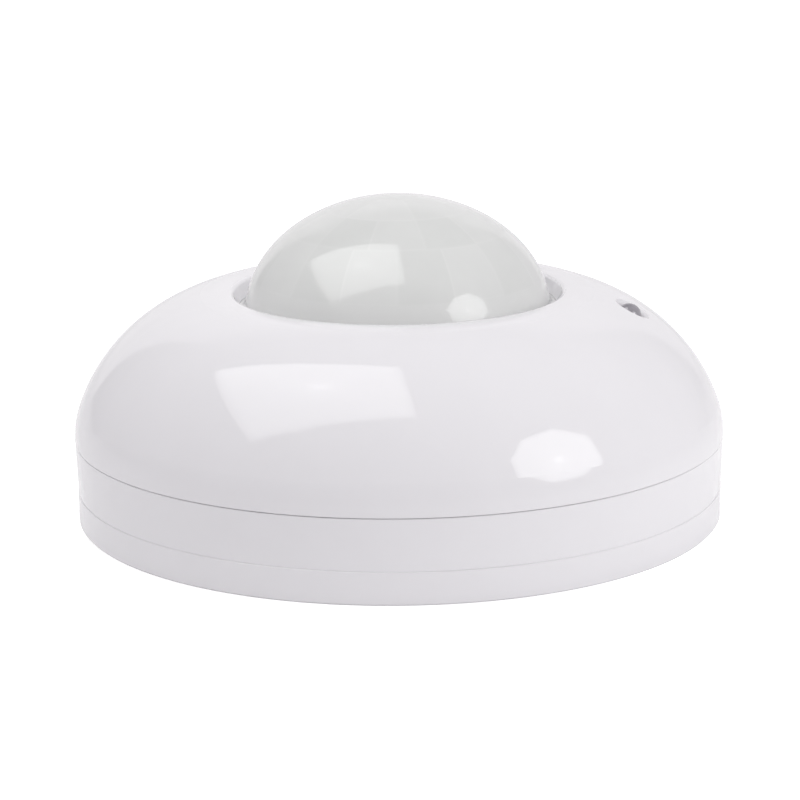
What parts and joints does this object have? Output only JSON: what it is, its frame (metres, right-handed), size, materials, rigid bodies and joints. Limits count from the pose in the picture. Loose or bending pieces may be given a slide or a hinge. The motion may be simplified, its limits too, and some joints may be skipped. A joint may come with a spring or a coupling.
{
  "type": "motion sensor",
  "caption": "Round ceiling motion sensor: domed white cover, milky dome lens, light-sensor window, twist-off base, screw terminals and flush setting knobs.",
  "frame": {"origin": "centre of the mounting base where it meets the ceiling", "axes": "+Z away from the ceiling toward the lens; +Y toward the setting knobs; +X toward the light-sensor window"},
  "size_m": [0.116, 0.116, 0.0569],
  "materials": {
    "cover_white": "polished white moulded plastic",
    "housing_white": "satin white moulded plastic",
    "lens_milky": "milky translucent polyethylene, smooth outside",
    "guide_smoke": "smoky tinted clear plastic",
    "grommet_rubber": "soft matte rubber",
    "retainer_black": "fine matte black plastic",
    "screw_zinc": "bright zinc plate",
    "board_green": "green solder mask",
    "can_nickel": "nickel plate",
    "pir_filter": "dark infrared filter",
    "lead_tin": "tinned wire",
    "sensor_ceramic": "coated ceramic",
    "relay_blue": "matte blue case",
    "film_yellow": "yellow potted case",
    "can_sleeve": "shrink sleeve",
    "varistor_blue": "dipped epoxy",
    "resistor_body": "lacquered body",
    "component_black": "moulded epoxy",
    "led_red": "clear red epoxy",
    "terminal_grey": "moulded polyamide",
    "terminal_brass": "plain brass",
    "terminal_steel": "zinc plate",
    "knob_grey": "light grey plastic",
    "trimmer_blue": "moulded trimmer body"
  },
  "bodies": {
    "base": {"mounting_base": "housing_white", "cable_grommet": "grommet_rubber"},
    "sensor_body": {"axial_leads": "lead_tin", "board_screws": "screw_zinc", "chip_legs": "lead_tin", "chip_resistors": "component_black", "circuit_board": "board_green", "control_chip": "component_black", "electrolytic_leads": "lead_tin", "film_capacitor": "film_yellow", "film_capacitor_leads": "lead_tin", "front_cover": "cover_white", "fuse_resistor": "resistor_body", "housing_screws": "screw_zinc", "indicator_led": "led_red", "led_leads": "lead_tin", "lens_dome": "lens_milky", "lens_retainer": "retainer_black", "light_guide": "guide_smoke", "light_sensor": "sensor_ceramic", "light_sensor_leads": "lead_tin", "light_sensor_sleeve": "retainer_black", "main_electrolytic": "can_sleeve", "pir_holder": "retainer_black", "pir_pins": "lead_tin", "pir_sensor_can": "can_nickel", "pir_window": "pir_filter", "rear_housing": "housing_white", "rectifier_diodes": "component_black", "regulator_transistor": "component_black", "relay_case": "relay_blue", "relay_pins": "lead_tin", "retainer_screws": "screw_zinc", "small_electrolytics": "can_sleeve", "terminal_bars": "terminal_brass", "terminal_block": "terminal_grey", "transistor_legs": "lead_tin", "trimmer_lux": "trimmer_blue", "trimmer_pins": "lead_tin", "trimmer_time": "trimmer_blue", "varistor": "varistor_blue", "varistor_leads": "lead_tin"},
    "knob_time": {"knob_time": "knob_grey"},
    "knob_lux": {"knob_lux": "knob_grey"},
    "screw_live": {"terminal_screw_live": "terminal_steel"},
    "clamp_live": {"terminal_clamp_live": "terminal_brass"},
    "screw_neutral": {"terminal_screw_neutral": "terminal_steel"},
    "clamp_neutral": {"terminal_clamp_neutral": "terminal_brass"},
    "screw_load": {"terminal_screw_load": "terminal_steel"},
    "clamp_load": {"terminal_clamp_load": "terminal_brass"}
  },
  "joints": [
    {"name": "body_twist", "type": "hinge", "parent": "base", "child": "sensor_body", "pos_m": [0, 0, 0], "axis": [0, 0, 1], "range_deg": [0, 25]},
    {"name": "knob_time_turn", "type": "hinge", "parent": "sensor_body", "child": "knob_time", "pos_m": [0.01144, 0.0538, 0.0112], "axis": [0.2079, 0.9781, 0], "range_deg": [-135, 135]},
    {"name": "knob_lux_turn", "type": "hinge", "parent": "sensor_body", "child": "knob_lux", "pos_m": [-0.01144, 0.0538, 0.0112], "axis": [-0.2079, 0.9781, 0], "range_deg": [-135, 135]},
    {"name": "screw_live_turn", "type": "hinge", "parent": "sensor_body", "child": "screw_live", "pos_m": [-0.008, 0.0289, 0.0045], "axis": [0, 0, 1], "range_deg": [0, 1440]},
    {"name": "clamp_live_lift", "type": "slide", "parent": "sensor_body", "child": "clamp_live", "axis": [0, 0, 1], "range_m": [-0.0018, 0]},
    {"name": "screw_neutral_turn", "type": "hinge", "parent": "sensor_body", "child": "screw_neutral", "pos_m": [0, 0.0289, 0.0045], "axis": [0, 0, 1], "range_deg": [0, 1440]},
    {"name": "clamp_neutral_lift", "type": "slide", "parent": "sensor_body", "child": "clamp_neutral", "axis": [0, 0, 1], "range_m": [-0.0018, 0]},
    {"name": "screw_load_turn", "type": "hinge", "parent": "sensor_body", "child": "screw_load", "pos_m": [0.008, 0.0289, 0.0045], "axis": [0, 0, 1], "range_deg": [0, 1440]},
    {"name": "clamp_load_lift", "type": "slide", "parent": "sensor_body", "child": "clamp_load", "axis": [0, 0, 1], "range_m": [-0.0018, 0]}
  ],
  "couplings": [
    {"joint": "screw_live_turn", "follows": "clamp_live_lift", "rad_per_m": -13963},
    {"joint": "screw_neutral_turn", "follows": "clamp_neutral_lift", "rad_per_m": -13963},
    {"joint": "screw_load_turn", "follows": "clamp_load_lift", "rad_per_m": -13963}
  ]
}
